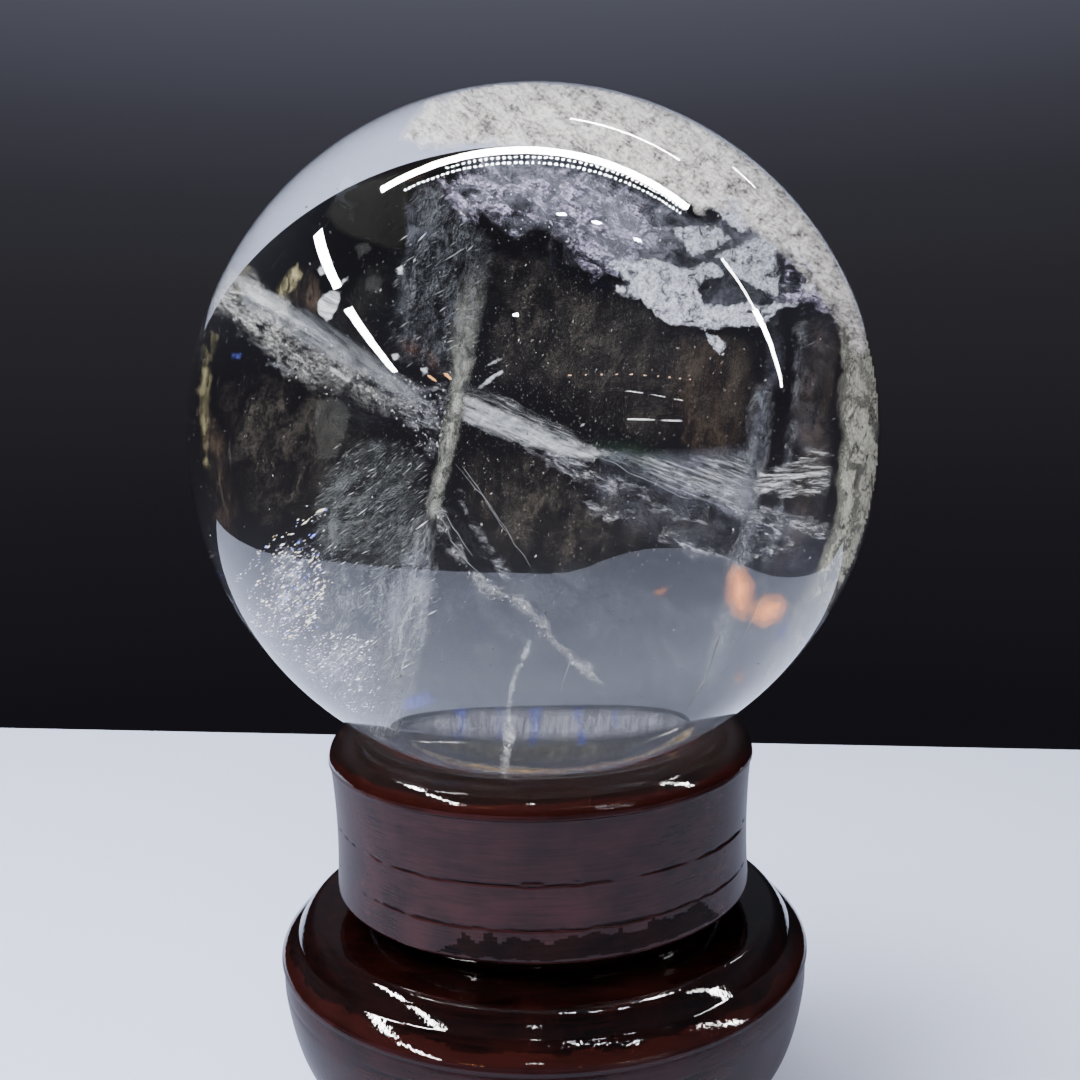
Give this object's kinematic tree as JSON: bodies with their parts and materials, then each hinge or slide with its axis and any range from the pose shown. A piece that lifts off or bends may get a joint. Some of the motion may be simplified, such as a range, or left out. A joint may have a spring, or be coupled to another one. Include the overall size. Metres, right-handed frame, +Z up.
{
  "type": "quartz sphere on turned wooden stand",
  "caption": "Clear polished rock crystal sphere with natural inclusions, seated in a stepped, turned and lacquered wooden stand with a flat underside.",
  "frame": {"origin": "middle of the stand's flat underside", "axes": "+Z up, along the turning axis of the stand and through the middle of the sphere; every piece is round about it"},
  "size_m": [0.1, 0.1, 0.167],
  "materials": {
    "rock_crystal": "polished clear rock crystal with milky veils, healed cracks and fine rainbow flecks",
    "ring_lacquer": "turned hardwood under dark red-brown gloss lacquer, grain and turning lines on the side",
    "base_lacquer": "turned hardwood under nearly black red-brown gloss lacquer, satin on the side"
  },
  "bodies": {
    "root": {"quartz_sphere": "rock_crystal", "stand_ring": "ring_lacquer", "stand_base": "base_lacquer"}
  },
  "joints": []
}
